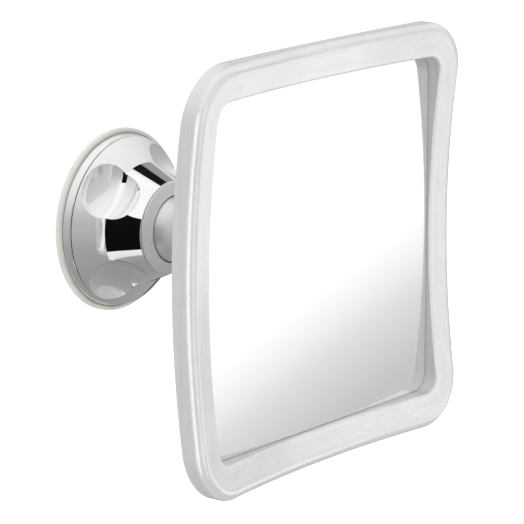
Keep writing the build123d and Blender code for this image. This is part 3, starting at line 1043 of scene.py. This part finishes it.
def panel(name, towards, upward, distance, width, height, stops):
    """Flat panel that only reflections show, its level along its width given by stops"""
    deselect_all()
    bpy.ops.mesh.primitive_plane_add(size=1.0)
    item = bpy.context.object
    item.name = name
    item.scale = (width, height, 1.0)
    bpy.ops.object.transform_apply(scale=True)
    normal = -Vector(towards).normalized()
    across = Vector(upward).cross(normal).normalized()
    above = normal.cross(across)
    turn = Matrix((across, above, normal)).transposed().to_4x4()
    item.matrix_world = Matrix.Translation(Vector(towards).normalized() * distance) @ turn
    item.visible_camera = False
    item.visible_diffuse = False
    item.visible_shadow = False
    material = bpy.data.materials.new(name)
    material.use_nodes = True
    tree = material.node_tree
    tree.nodes.clear()
    glow = tree.nodes.new("ShaderNodeEmission")
    output = tree.nodes.new("ShaderNodeOutputMaterial")
    place = object_place(tree, scale=(1.0 / width, 1.0, 1.0), location=(0.5, 0.0, 0.0))
    along = axes(tree, place)[0]
    tree.links.new(ramp(tree, along, greys(stops)), glow.inputs["Color"])
    tree.links.new(glow.outputs["Emission"], output.inputs["Surface"])
    item.data.materials.append(material)
    return item


def stand_panels(look):
    """White, grey and black panels round the object, as a product studio has them"""
    far = look.panel_distance
    depth = (0.0, 1.0, 0.0)
    upright = (0.0, 0.0, 1.0)
    panel("black_left", (-1.0, -0.11, -0.20), upright, far, 0.52, 2.10, BLACK)
    panel("white_low", (-0.57, 0.02, -0.82), depth, far, 0.66, 0.55, WHITE_TO_GREY)
    panel("dark_band", (0.53, 0.15, 0.84), depth, far, 0.50, 0.50, DARK)
    panel("grey_right", (0.77, 0.24, 0.60), depth, far + PANEL_STEP, 0.60, 0.50, GREY)
    panel("white_high", (-0.45, -0.08, 0.89), (1.0, 0.2, 0.5), far + 2 * PANEL_STEP, 0.90, 3.0, SOFT_WHITE)
    panel("grey_behind", (0.80, 0.56, -0.21), upright, far, 0.75, 0.9, SHADE)
    stand_front_panel()


def stand_front_panel():
    """White panel that falls to grey, placed where the mirror shows it to the camera"""
    camera = bpy.context.scene.camera.location
    glass_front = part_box("anti_fog_film")[0][1]
    seen_from = Vector((camera.x, 2 * glass_front - camera.y, camera.z))
    ahead = Vector(FRONT_AHEAD).normalized()
    fall = Vector((1.0, 0.0, -1.0))
    fall = (fall - fall.dot(ahead) * ahead).normalized()
    front = panel("white_front", ahead, fall.cross(ahead), FRONT_DISTANCE, 1.0, 0.8, FRONT_FALL)
    front.location = seen_from + ahead * FRONT_DISTANCE
    let_through(front.data.materials[0])
    glass_only = bpy.data.collections.new("front_lit")
    glass_only.objects.link(nodes["mirror_plate"])
    front.light_linking.receiver_collection = glass_only


def let_through(material):
    """Add clear to a panel's glow, so that pieces that it doesn't light see past it"""
    tree = material.node_tree
    clear = tree.nodes.new("ShaderNodeBsdfTransparent")
    both = tree.nodes.new("ShaderNodeAddShader")
    output = tree.nodes["Material Output"]
    glow = output.inputs["Surface"].links[0].from_socket
    tree.links.new(glow, both.inputs[0])
    tree.links.new(clear.outputs["BSDF"], both.inputs[1])
    tree.links.new(both.outputs["Shader"], output.inputs["Surface"])


def light_surround(look):
    """Surround that is white for the camera, white to grey in reflections, and even light elsewhere"""
    world = bpy.data.worlds.new("studio_surround")
    bpy.context.scene.world = world
    world.use_nodes = True
    tree = world.node_tree
    shader = tree.nodes["Background"]
    place = tree.nodes.new("ShaderNodeTexCoord")
    height = axes(tree, place.outputs["Generated"])[2]
    share = spread(tree, height, 0.0, 1.0, -1.0, 1.0)
    mirrored = ramp(tree, share, greys(SURROUND_GREYS))
    even = ramp(tree, share, greys((spot, look.sky_level * level) for spot, level in EVEN_GREYS))
    path = tree.nodes.new("ShaderNodeLightPath")
    lit = blend_colors(tree, path.outputs["Is Glossy Ray"], even, mirrored)
    seen = sums(tree, "MAXIMUM", path.outputs["Is Camera Ray"], path.outputs["Is Transmission Ray"])
    tree.links.new(blend_colors(tree, seen, lit, WHITE), shader.inputs["Color"])


class MIRROR_PT_panel(bpy.types.Panel):
    """The mirror's pieces and its studio"""

    bl_label = "Shower Mirror"
    bl_idname = "MIRROR_PT_panel"
    bl_space_type = "VIEW_3D"
    bl_region_type = "UI"
    bl_category = "Shower Mirror"

    def draw(self, context):
        for operator in OPERATORS:
            self.layout.operator(operator.bl_idname)
        for look in (context.scene.mirror_head, context.scene.mirror_mount, context.scene.mirror_studio):
            box = self.layout.box()
            for name in look.__annotations__:
                box.prop(look, name)


OPERATORS = (MIRROR_OT_studio, MIRROR_OT_head, MIRROR_OT_mount, MIRROR_OT_cup, MIRROR_OT_inner)
CLASSES = (MirrorHeadLook, MountLook, StudioLook, *OPERATORS, MIRROR_PT_panel)


def register():
    for item in CLASSES:
        bpy.utils.register_class(item)
    bpy.types.Scene.mirror_head = PointerProperty(type=MirrorHeadLook)
    bpy.types.Scene.mirror_mount = PointerProperty(type=MountLook)
    bpy.types.Scene.mirror_studio = PointerProperty(type=StudioLook)


def unregister():
    del bpy.types.Scene.mirror_studio
    del bpy.types.Scene.mirror_mount
    del bpy.types.Scene.mirror_head
    for item in reversed(CLASSES):
        bpy.utils.unregister_class(item)


def main():
    """Make every piece in order"""
    register()
    bpy.ops.mirror.studio()
    bpy.ops.mirror.head()
    bpy.ops.mirror.mount()
    bpy.ops.mirror.cup()
    bpy.ops.mirror.inner()


if __name__ == "__main__":
    main()
